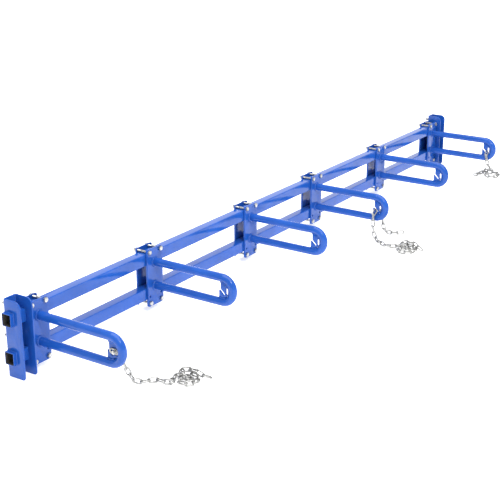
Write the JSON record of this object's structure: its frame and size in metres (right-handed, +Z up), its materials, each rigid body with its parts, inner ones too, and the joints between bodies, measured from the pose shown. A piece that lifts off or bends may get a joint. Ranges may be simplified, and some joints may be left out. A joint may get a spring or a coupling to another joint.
{
  "type": "wall hook rack",
  "caption": "Two-rail wall rack with end brackets and bolted U-shaped hooks that slide along the rails; some hooks carry a short chain.",
  "frame": {"origin": "middle of the rack's foot print: X at the middle of the rails, Y halfway between the loops' tips and the wall bolts' ends, Z at the foot of the end brackets", "axes": "+X along the rails to the right as seen from the front, +Y towards the wall, +Z up; the hooks point along -Y"},
  "size_m": [2.7432, 0.5343, 0.2285],
  "materials": {
    "blue_coat": "gloss blue powder coat",
    "zinc_hardware": "bright zinc plate",
    "zinc_chain": "dull zinc plate"
  },
  "bodies": {
    "frame": {"upper_rail": "blue_coat", "lower_rail": "blue_coat", "left_end_bracket": "blue_coat", "left_wall_bolt_upper": "zinc_hardware", "left_wall_bolt_middle": "zinc_hardware", "right_end_bracket": "blue_coat", "right_wall_bolt_upper": "zinc_hardware", "right_wall_bolt_middle": "zinc_hardware"},
    "hook_1": {"hook_1_front_clamp": "blue_coat", "hook_1_back_clamp": "blue_coat", "hook_1_loop": "blue_coat", "hook_1_keeper_plate": "blue_coat", "hook_1_bolt_upper_left": "zinc_hardware", "hook_1_bolt_lower_left": "zinc_hardware", "hook_1_bolt_upper_right": "zinc_hardware", "hook_1_bolt_lower_right": "zinc_hardware", "hooked_chain_1": "zinc_chain"},
    "hook_2": {"hook_2_front_clamp": "blue_coat", "hook_2_back_clamp": "blue_coat", "hook_2_loop": "blue_coat", "hook_2_keeper_plate": "blue_coat", "hook_2_bolt_upper_left": "zinc_hardware", "hook_2_bolt_lower_left": "zinc_hardware", "hook_2_bolt_upper_right": "zinc_hardware", "hook_2_bolt_lower_right": "zinc_hardware"},
    "hook_3": {"hook_3_front_clamp": "blue_coat", "hook_3_back_clamp": "blue_coat", "hook_3_loop": "blue_coat", "hook_3_keeper_plate": "blue_coat", "hook_3_bolt_upper_left": "zinc_hardware", "hook_3_bolt_lower_left": "zinc_hardware", "hook_3_bolt_upper_right": "zinc_hardware", "hook_3_bolt_lower_right": "zinc_hardware"},
    "hook_4": {"hook_4_front_clamp": "blue_coat", "hook_4_back_clamp": "blue_coat", "hook_4_loop": "blue_coat", "hook_4_keeper_plate": "blue_coat", "hook_4_bolt_upper_left": "zinc_hardware", "hook_4_bolt_lower_left": "zinc_hardware", "hook_4_bolt_upper_right": "zinc_hardware", "hook_4_bolt_lower_right": "zinc_hardware", "hooked_chain_4": "zinc_chain", "anchored_chain_4": "zinc_chain"},
    "hook_5": {"hook_5_front_clamp": "blue_coat", "hook_5_back_clamp": "blue_coat", "hook_5_loop": "blue_coat", "hook_5_keeper_plate": "blue_coat", "hook_5_bolt_upper_left": "zinc_hardware", "hook_5_bolt_lower_left": "zinc_hardware", "hook_5_bolt_upper_right": "zinc_hardware", "hook_5_bolt_lower_right": "zinc_hardware"},
    "hook_6": {"hook_6_front_clamp": "blue_coat", "hook_6_back_clamp": "blue_coat", "hook_6_loop": "blue_coat", "hook_6_keeper_plate": "blue_coat", "hook_6_bolt_upper_left": "zinc_hardware", "hook_6_bolt_lower_left": "zinc_hardware", "hook_6_bolt_upper_right": "zinc_hardware", "hook_6_bolt_lower_right": "zinc_hardware", "anchored_chain_6": "zinc_chain"}
  },
  "joints": [
    {"name": "hook_1_slide", "type": "slide", "parent": "frame", "child": "hook_1", "axis": [1, 0, 0], "range_m": [0, 0.18]},
    {"name": "hook_2_slide", "type": "slide", "parent": "frame", "child": "hook_2", "axis": [1, 0, 0], "range_m": [-0.18, 0.18]},
    {"name": "hook_3_slide", "type": "slide", "parent": "frame", "child": "hook_3", "axis": [1, 0, 0], "range_m": [-0.18, 0.18]},
    {"name": "hook_4_slide", "type": "slide", "parent": "frame", "child": "hook_4", "axis": [1, 0, 0], "range_m": [-0.18, 0.18]},
    {"name": "hook_5_slide", "type": "slide", "parent": "frame", "child": "hook_5", "axis": [1, 0, 0], "range_m": [-0.18, 0.18]},
    {"name": "hook_6_slide", "type": "slide", "parent": "frame", "child": "hook_6", "axis": [1, 0, 0], "range_m": [-0.18, 0]}
  ]
}
